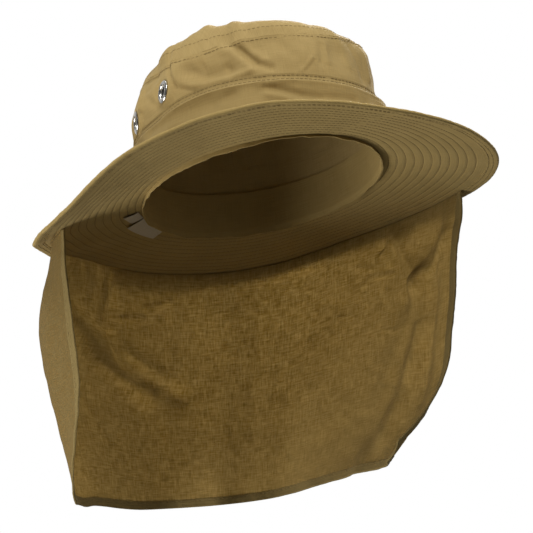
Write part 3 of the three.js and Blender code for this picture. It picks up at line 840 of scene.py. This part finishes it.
def pierced(ob):
    """Cuts the vent holes through the crown wall."""
    drills = []
    for origin, _, _, normal in seats.values():
        bpy.ops.mesh.primitive_cylinder_add(
            vertices=48,
            radius=VENT_HOLE * 0.001,
            depth=0.012,
            location=origin * 0.001,
            rotation=Vector(normal).to_track_quat("Z", "Y").to_euler(),
        )
        drill = bpy.context.active_object
        drills.append(drill)
        cut = ob.modifiers.new("vent", "BOOLEAN")
        cut.operation = "DIFFERENCE"
        cut.solver = "MANIFOLD"
        cut.object = drill
    bpy.context.view_layer.update()
    depsgraph = bpy.context.evaluated_depsgraph_get()
    whole = bpy.data.meshes.new_from_object(ob.evaluated_get(depsgraph))
    ob.modifiers.clear()
    whole.materials.clear()
    ob.data = whole
    shade(whole)
    for drill in drills:
        bpy.data.objects.remove(drill)


def round_piece(part, material, slot, face, back, arc, down):
    """A piece that goes all round the hat, from two grids of points in the hat's frame."""
    ob = shell(part + "_cloth", tipped(face), tipped(back), round_cloth(arc, down), loop=True)
    return dress(ob, material, slot, part)


def gathered(angle):
    """How much the crown top's seam gathers the cloth: most to the right of the front."""
    return 1 + 1.6 * bell(turn(angle, 54), 9)


def crown_wall():
    share = np.linspace(0, 1, 62)[:, None]
    height = WALL_FOOT + share * (top_seam(angles)[None] - 0.05 - WALL_FOOT)
    angle = np.broadcast_to(angles, height.shape)
    base = crown_point(angle, height)
    near_seam = bell((1 - share) * 80, 5)
    calm = np.ones_like(height)
    for at, level, *_ in EYELETS.values():
        calm *= 1 - np.exp(-((turn(angle, at) * ARC) ** 2 + (height - level) ** 2) / 11**2)
    wrinkle = 0.35 * noise(base, 9, 3) + 0.5 * noise(base, 22, 4)
    gather = 0.35 * noise(base * (1, 1, 0.15), 3.2, 5) * near_seam * gathered(angle)
    above_band = ramp(height - band_edge(angle) - 1, 4)
    fine = (wrinkle * calm + gather) * above_band - 0.25 * near_seam
    normal = crown_normal(angle, height)
    face = tipped(base + normal * fine[..., None])
    back = tipped(base + normal * (fine - WALL_THICK)[..., None])
    face, back = settled(face, 0.1), settled(back, 0.1 + WALL_THICK)
    ob = shell("crown_wall_cloth", face, back, round_cloth(ARC, height), loop=True)
    pierced(ob)
    return dress(ob, CROWN, "crown_cloth", "crown_wall")


def top_point(angle, inward):
    """A point of the crown top in the hat's frame."""
    angle, inward = np.broadcast_arrays(angle, inward)
    rim = crown_point(angle, top_seam(angle) + GAP / 2)
    middle = np.array([*crown_section(TOP_MIDDLE)[2:], TOP_MIDDLE])
    p = rim + (middle - rim) * inward[..., None]
    shoulder = top_shoulder(angle)
    p[..., 2] += hermite(inward, TOP_PLACES, TOP_RISES) * (shoulder + (1 - shoulder) * inward)
    return p


def top_face(angle, inward):
    """A point of the crown top's outer face and the normal there, in the hat's frame."""
    base = top_point(angle, inward)
    round_ = top_point(angle + 0.5, inward) - top_point(angle - 0.5, inward)
    nearer, farther = np.maximum(inward - 0.004, 0), np.minimum(inward + 0.004, 1)
    normal = np.cross(top_point(angle, farther) - top_point(angle, nearer), round_)
    normal = unit(normal * np.where(normal[..., 2:] < 0, -1, 1) + (0, 0, 1e-6))
    near_seam = bell(inward * 90, 5)
    wrinkle = 0.7 * noise(base, 26, 11) + 0.3 * noise(base, 10, 12)
    gather = 0.4 * noise(base * (1, 1, 0.15), 3.4, 13) * near_seam * gathered(angle)
    fade = np.clip((1 - inward) * 8, 0, 1) * np.clip(inward * 40, 0, 1)
    fine = (bumps(TOP_BUMPS, angle, inward) + wrinkle) * fade + gather - 0.25 * near_seam
    return base + normal * fine[..., None], normal


def crown_top():
    inward = np.linspace(0, 1, 52)[:, None] ** 1.6 + 0 * angles
    face, normal = top_face(np.broadcast_to(angles, inward.shape), inward)
    back = face - normal * WALL_THICK
    # the seam allowance, turned down behind the wall
    tucks = [top_seam(angles) - below for below in (5, 1.2)]
    behind = -WALL_THICK - 0.15
    face, back = (
        np.concatenate([[crown_point(angles, height, out) for height in tucks], layer])
        for layer, out in ((face, behind), (back, behind - 0.9))
    )
    flat = cloth_grid(face[..., 0], face[..., 1])
    flat = np.append(flat, flat[:, :1], 1)
    ob = shell("crown_top_cloth", tipped(face), tipped(back), flat, loop=True, capped=True)
    return dress(ob, CROWN, "crown_cloth", "crown_top")


def band_point(angle, below, over=0.0):
    """A point of the band in the hat's frame, from its distance below the band's top edge."""
    angle, below = np.broadcast_arrays(angle, below)
    height = band_edge(angle) - below
    folds = ridges(BAND_FOLDS, angle, height, ARC, 1, wrap=True) + 0.3 + 3.1 * ramp(height, 38)
    puffs = bumps(BAND_PUFFS, angle, height) * ramp(below, 12)
    off = GAP + puffs + folds * ramp(below - 3.5, 4) * ramp(height - 2, 6)
    return crown_point(angle, height, np.maximum(off, GAP) + over)


def hat_band():
    angle = np.broadcast_to(angles, (44, ROUND))
    below = np.linspace(1, 0, len(angle))[:, None] * (band_edge(angle) - WALL_FOOT)
    base = band_point(angle, below, BAND_THICK)
    wrinkle = (0.3 * noise(base, 8, 21) + 0.45 * noise(base, 20, 22)) * ramp(below - 4, 6)
    pull = 0.25 * noise(base * (1, 1, 0.2), 3, 23) * bell(below - 3, 4)
    sewn = -0.35 * sum(bell(below - row, wide) for row, wide in BAND_SEWING)
    height = band_edge(angle) - below
    normal = crown_normal(angle, height)
    face = base + normal * np.maximum(wrinkle + pull + sewn, -0.5)[..., None]
    back = face - normal * BAND_THICK
    return round_piece("hat_band", BAND, "crown_cloth", face, back, ARC, height)


def sweatband():
    angle = np.broadcast_to(angles, (22, ROUND))
    rim = crown_point(angle, 0.0)
    short = bell(turn(angle, 8), 32)  # the front, where the strip hangs less far down
    waves = (0.9 - 0.5 * short) * noise(rim, 9, 33) + 0.4 * noise(rim, 4, 34)
    foot = SWEATBAND_FOOT + 1.7 * short - waves
    height = foot + np.linspace(0, 1, len(angle))[:, None] * (SWEATBAND_TOP - foot)
    base = crown_point(angle, np.maximum(height, 0), -WALL_THICK - 0.5)
    base[..., 2] = height
    drawn_in = 0.5 * bell(height + 5, 5) * (1 + noise(rim, 5, 35)) * 0.5
    flared = 0.9 * ramp(-1.2 - height, 1.6)
    fine = flared - drawn_in - 0.15 * np.abs(noise(base, 6, 31))
    normal = crown_normal(angle, np.maximum(height, 0))
    face = base + normal * fine[..., None]
    back = face - normal * SWEATBAND_THICK
    return round_piece("sweatband", BRIM, "brim_cloth", face, back, ARC, height)


# ---- brim

brim_angles = np.arange(480) * 360 / 480
quilt_rows = [QUILT_FIRST + k * QUILT_PITCH for k in range(QUILT_ROWS)]
binding_start = BRIM_WIDTH - BINDING_WIDTH


def brim_surface(angle, along, side, over=0.0):
    """A point of the brim's upper (1) or under (-1) face in the hat's frame."""
    base = brim_point(angle, along)
    groove = QUILT_DEPTH * sum(bell(along - row, 0.8) for row in quilt_rows)
    radial = 0.12 * noise(base * (1, 1, 0.2), 3.2, 43)
    lift = side * (BRIM_THICK / 2 - groove + radial + over) + ripple(base) * ramp(along, 8)
    return brim_point(angle, along, lift)


def brim():
    steps = (-1.6, -0.9, -0.45, 0, 0.45, 0.9, 1.6, QUILT_PITCH / 2)
    places = [0, QUILT_FIRST / 2] + [row + step for row in quilt_rows for step in steps]
    places.append(binding_start + 0.6)  # tucked into the binding
    along = np.array(places)[:, None] + 0 * brim_angles
    under, over = (brim_surface(brim_angles, along, side) for side in (-1, 1))
    return round_piece("brim", BRIM, "brim_cloth", under, over, BRIM_ARC, along)


def brim_binding():
    half, roll_width = BINDING_THICK / 2, 1.4
    flat = BINDING_WIDTH - roll_width
    lower = [(0, -half + 0.2), (0.5, -half), (1.6, -half + 0.3), (3, -half), (flat - 0.8, -half)]
    turns = np.linspace(0.15, math.pi - 0.15, 8)
    roll = [(flat + roll_width * math.sin(a), -half * math.cos(a)) for a in turns]
    grid = []
    for place, above in folded_over(lower, roll) + [(0, 0)]:
        along = binding_start + place
        base = brim_point(brim_angles, along)
        pucker = 0.22 * noise(base * (1, 1, 0.3), 2.6, 51) * np.sign(above) * (abs(above) > 0.5 * half)
        grid.append(tipped(brim_point(brim_angles, along, above + ripple(base) + pucker)))
    ob = tube("brim_binding_cloth", np.array(grid)[::-1], 360 * BINDING_ARC, 22)
    return dress(ob, BRIM, "brim_cloth", "brim_binding")


# ---- flap

edge_along, edge_down = FLAP_EDGE / FLAP_WIDTH, FLAP_EDGE / FLAP_DEPTH


def crumpled(base, down):
    """How far the flap's fine creases stand out, none of them at its seam."""
    return (0.55 * noise(base, 16, 61) + 0.3 * noise(base, 7, 62)) * ramp(down, 0.06)


def neck_flap():
    margin = 0.35  # how far the cloth stops short of its edges, as a share of the binding
    along, down = np.meshgrid(
        np.linspace(margin * edge_along, 1 - margin * edge_along, 320),
        np.linspace(0, 1 - margin * edge_down, 124),
    )
    base = flap_place(along, down)
    normal = unit(np.cross(np.gradient(base, axis=0), np.gradient(base, axis=1)))
    normal = normal * np.sign((normal * oval_normal(flap_angle(along))).sum(-1).mean())
    gather = 0.6 * noise(base * (1, 1, 0.12), 6, 63) * bell(down, 0.09) * ramp(down, 0.02)
    middle = base + normal * (crumpled(base, down) + gather)[..., None]
    # the seam allowance, turned outwards against the brim
    angle, seam = flap_angle(along[0]), flap_seam(along[0])
    under_brim = -BRIM_THICK / 2 - 0.5 + ripple(brim_point(angle, seam))
    turned = [tipped(brim_point(angle, seam + out, under_brim)) for out in (1.9, 1.1)]
    middle = np.concatenate([turned, middle])
    normal = np.concatenate([np.broadcast_to((0, 0, 1.0), (2, *normal.shape[1:])), normal])
    along, down = np.concatenate([along[:2], along]), np.concatenate([down[:2] - 0.02, down])
    inside, outside = middle - normal * FLAP_THICK / 2, middle + normal * FLAP_THICK / 2
    ob = shell("neck_flap_cloth", outside, inside, cloth_grid(along * FLAP_WIDTH, down * FLAP_DEPTH))
    return dress(ob, FLAP, "flap_cloth", "neck_flap")


def flap_edge(share):
    """The flap along its three free edges, at a share of the way out across the binding.

    Gives the points without their creases, how far down each is, and the outward normals.
    """
    sides = np.linspace(0, 1, 150)
    outer = [(0, d) for d in sides[:-1]] + [(a, 1) for a in np.linspace(0, 1, 330)]
    outer = np.array(outer + [(1, d) for d in sides[-2::-1]], float)
    inner = np.clip(outer, (edge_along, 0), (1 - edge_along, 1 - edge_down))
    a, d = (inner + (outer - inner) * share).T
    step = 0.003
    fall = flap_place(a, np.minimum(d + step, 1)) - flap_place(a, np.maximum(d - step, 0))
    round_ = flap_place(np.minimum(a + step, 1), d) - flap_place(np.maximum(a - step, 0), d)
    normal = unit(np.cross(fall, round_))
    normal *= np.sign((normal * oval_normal(flap_angle(a))).sum(-1, keepdims=True))
    return flap_place(a, d), d, normal


def flap_binding():
    half = FLAP_EDGE_THICK / 2
    lower = [(0, -half * 0.8), (0.08, -half), (0.22, -half * 0.75), (0.38, -half)]
    lower += [(0.5, -half), (0.62, -half * 0.7), (0.74, -half), (0.85, -half)]
    turns = np.linspace(0.3, math.pi - 0.3, 6)
    roll = [(0.93 + 0.07 * math.sin(a), -half * math.cos(a)) for a in turns]
    grid = []
    for share, above in folded_over(lower, roll):
        base, down, normal = flap_edge(share)
        pucker = 0.15 * noise(base, 2.6, 71) * np.sign(above)
        grid.append(base + normal * (crumpled(base, down) + above + pucker)[:, None])
    ob = tube("flap_binding_cloth", np.array(grid), 900, 16, loop=False)
    return dress(ob, FLAP_EDGING, "flap_cloth", "flap_binding")


# ---- sewing


def sew_hat():
    fine = np.arange(0, 360.01, 0.5)
    outward = tipped(oval_normal(fine))
    sewing = Stitches()
    for below, _ in BAND_SEWING:
        sewing.row(tipped(band_point(fine, below, BAND_THICK)), outward)
    # one row below the crown top's seam and one above it
    sewing.row(tipped(crown_point(fine, top_seam(fine) - 2.2, -0.05)), outward)
    path, normal = top_face(fine, np.full_like(fine, 0.035))
    sewing.row(tipped(path), tipped(normal))
    sewing.make("crown_stitches", THREAD, "crown_cloth")

    for side, name in ((-1, "brim_stitches_under"), (1, "brim_stitches_over")):
        sewing = Stitches(radius=0.25, length=3.2, gap=0.2)
        paths = [(row, brim_surface(fine, row, side, 0.07)) for row in quilt_rows]
        for place, sunk in ((1.6, 0.2), (4.8, 0)):
            row = binding_start + place
            above = side * (BINDING_THICK / 2 - sunk) + ripple(brim_point(fine, row))
            paths.append((row, brim_point(fine, row, above)))
        for row, path in paths:
            normal = unit(brim_point(fine, row, side * 5.0) - brim_point(fine, row))
            sewing.row(tipped(path), tipped(normal))
        sewing.make(name, BRIM_THREAD, "brim_cloth")


def sew_flap():
    sewing = Stitches(radius=0.24, length=2.6, gap=0.7)
    base, down, normal = flap_edge(0.22)
    middle = base + normal * crumpled(base, down)[:, None]
    for side in (-1, 1):
        sewing.row(middle + normal * side * FLAP_EDGE_THICK * 0.375, normal * side)
    return sewing.make("flap_stitches", THREAD, "flap_cloth")


# ---- eyelets


def eyelet_ring(name, origin, right, up, normal):
    t = np.arange(64)[:, None] * 2 * math.pi / 64
    spokes = np.cos(t) * right + np.sin(t) * up
    grid = [origin + normal * height + radius * spokes for radius, height in EYELET_SECTION]
    ring = tube(name + "_ring", np.array(grid)[::-1], 50, 20)
    dress(ring, NICKEL, "nickel", name)


def eyelet_screen(name, origin, right, up, normal):
    wires = Strands()
    wire, pitch, reach = 0.17, 0.95, 5.15
    for way, (u, v) in enumerate(((right, up), (up, right))):
        for n, mark in enumerate(np.arange(-5, 6) * pitch):
            span = math.sqrt(reach**2 - mark**2)
            s = np.linspace(-span, span, int(span * 2 / 0.24))
            weave = wire * np.cos(math.pi * (s / pitch + n + way))
            centre = origin + normal * (-0.5 + weave)[:, None] + u * s[:, None] + v * mark
            wires.add(centre[None], v * wire, normal * wire, turned=0.4)
    wires.make(name + "_screen", WIRE, "nickel")


# ---- care tags


def care_tag(name, *corners):
    near_left, near_right, far_right, far_left = np.array(corners).reshape(4, 2)
    across, share = np.meshgrid(np.linspace(0, 1, 24), np.linspace(0, 1, 30))
    sewn = near_left + (near_right - near_left) * across[..., None]
    free = far_left + (far_right - far_left) * across[..., None]
    angle, along = np.moveaxis(sewn + (free - sewn) * share[..., None], -1, 0)
    curl = (0.35 * np.sin(across * math.pi) + 0.25 * np.sin(across * 5 + share * 3)) * share
    middle = brim_point(angle, along)
    middle[..., 2] -= 1.8 + 0.6 * ramp(share, 1 / 3) + curl
    half = np.array([0, 0, TAG_THICK / 2])
    places = cloth_grid(across * 20, share * 15)
    ob = shell(name + "_cloth", tipped(middle - half), tipped(middle + half), places)
    return dress(ob, TAG, "tag_cloth", name)


# ---- assembly

crown_wall()
crown_top()
hat_band()
sweatband()
brim()
brim_binding()
flap = neck_flap()
binding = flap_binding()
sew_hat()
flap_sewing = sew_flap()
for node_name, seat in seats.items():
    eyelet_ring(node_name, *seat)
    eyelet_screen(node_name, *seat)
for node_name, corners in TAGS.items():
    care_tag(node_name, *corners)

# ---- studio, camera


def paint_floor():
    bpy.ops.mesh.primitive_plane_add(size=8, location=(0, 0, FLOOR_HEIGHT))
    floor = bpy.context.active_object
    floor.name = "floor"
    paint, tree, shader = new_material("floor_paint")
    feed(tree, shader.inputs, {"Base Color": (0.27, 0.27, 0.26, 1), "Roughness": 0.8})
    floor.data.materials.append(paint)


def light_studio():
    """Light from a bright backdrop behind the hat and a soft ceiling, with white for the camera."""
    world = bpy.data.worlds.new("studio")
    bpy.context.scene.world = world
    world.use_nodes = True
    tree = world.node_tree
    way = node(tree, "ShaderNodeTexCoord").outputs["Generated"]

    def facing(direction):
        inputs = {0: way, 1: direction}
        return node(tree, "ShaderNodeVectorMath", inputs, operation="DOT_PRODUCT").outputs["Value"]

    behind, overhead = facing((0.53, 0.848, 0)), facing((0, 0, 1))
    backdrop = ranged(tree, {"Value": behind, "From Min": 0.1, "From Max": 0.9, "To Max": 0.55})
    ceiling = ranged(tree, {"Value": overhead, "To Min": 0.05, "To Max": 0.24})
    strength = mathed(tree, "ADD", backdrop, ceiling)
    lighting = tree.nodes["Background"]
    feed(tree, lighting.inputs, {"Color": (1, 0.99, 0.97, 1), "Strength": strength})
    seen = node(tree, "ShaderNodeBackground", {"Color": (1, 1, 1, 1), "Strength": 1.0})
    to_camera = node(tree, "ShaderNodeLightPath").outputs["Is Camera Ray"]
    mixed_shaders(tree, to_camera, lighting, seen, "World Output")


def place_facing(name, data, place, toward):
    """Puts a light or camera at a place, in metres, facing along a direction."""
    ob = bpy.data.objects.new(name, data)
    ob.location = place
    ob.rotation_euler = toward.to_track_quat("-Z", "Y").to_euler()
    bpy.context.collection.objects.link(ob)
    return ob


def area_light(name, place, size, power):
    data = bpy.data.lights.new(name, "AREA")
    data.size = size
    data.energy = power
    place_facing(name, data, place, Vector((0, 0, -0.05)) - Vector(place))


def place_camera():
    azimuth, elevation = math.radians(CAMERA_AZIMUTH), math.radians(CAMERA_ELEVATION)
    level = Vector((math.sin(azimuth), -math.cos(azimuth), 0))
    back = level * math.cos(elevation) + Vector((0, 0, math.sin(elevation)))
    right = Vector((math.cos(azimuth), math.sin(azimuth), 0))
    aim = right * CAMERA_AIM[0] + Vector((0, 0, CAMERA_AIM[1]))
    data = bpy.data.cameras.new("camera")
    data.lens, data.sensor_width = CAMERA_LENS, CAMERA_SENSOR
    bpy.context.scene.camera = place_facing("camera", data, aim + back * CAMERA_DISTANCE, -back)
    bpy.context.scene.view_settings.view_transform = "Standard"


paint_floor()
light_studio()
area_light("key", (-0.65, -0.85, 1.2), 0.7, 23.5)
area_light("fill", (0.9, -1.2, 0.5), 1.0, 4.2)
area_light("top", (0.1, 0.3, 1.4), 1.0, 7)
area_light("low", (-0.85, 0.2, -0.6), 0.5, 9)
area_light("back", (0.94, 0.78, 0.83), 0.45, 21)
place_camera()
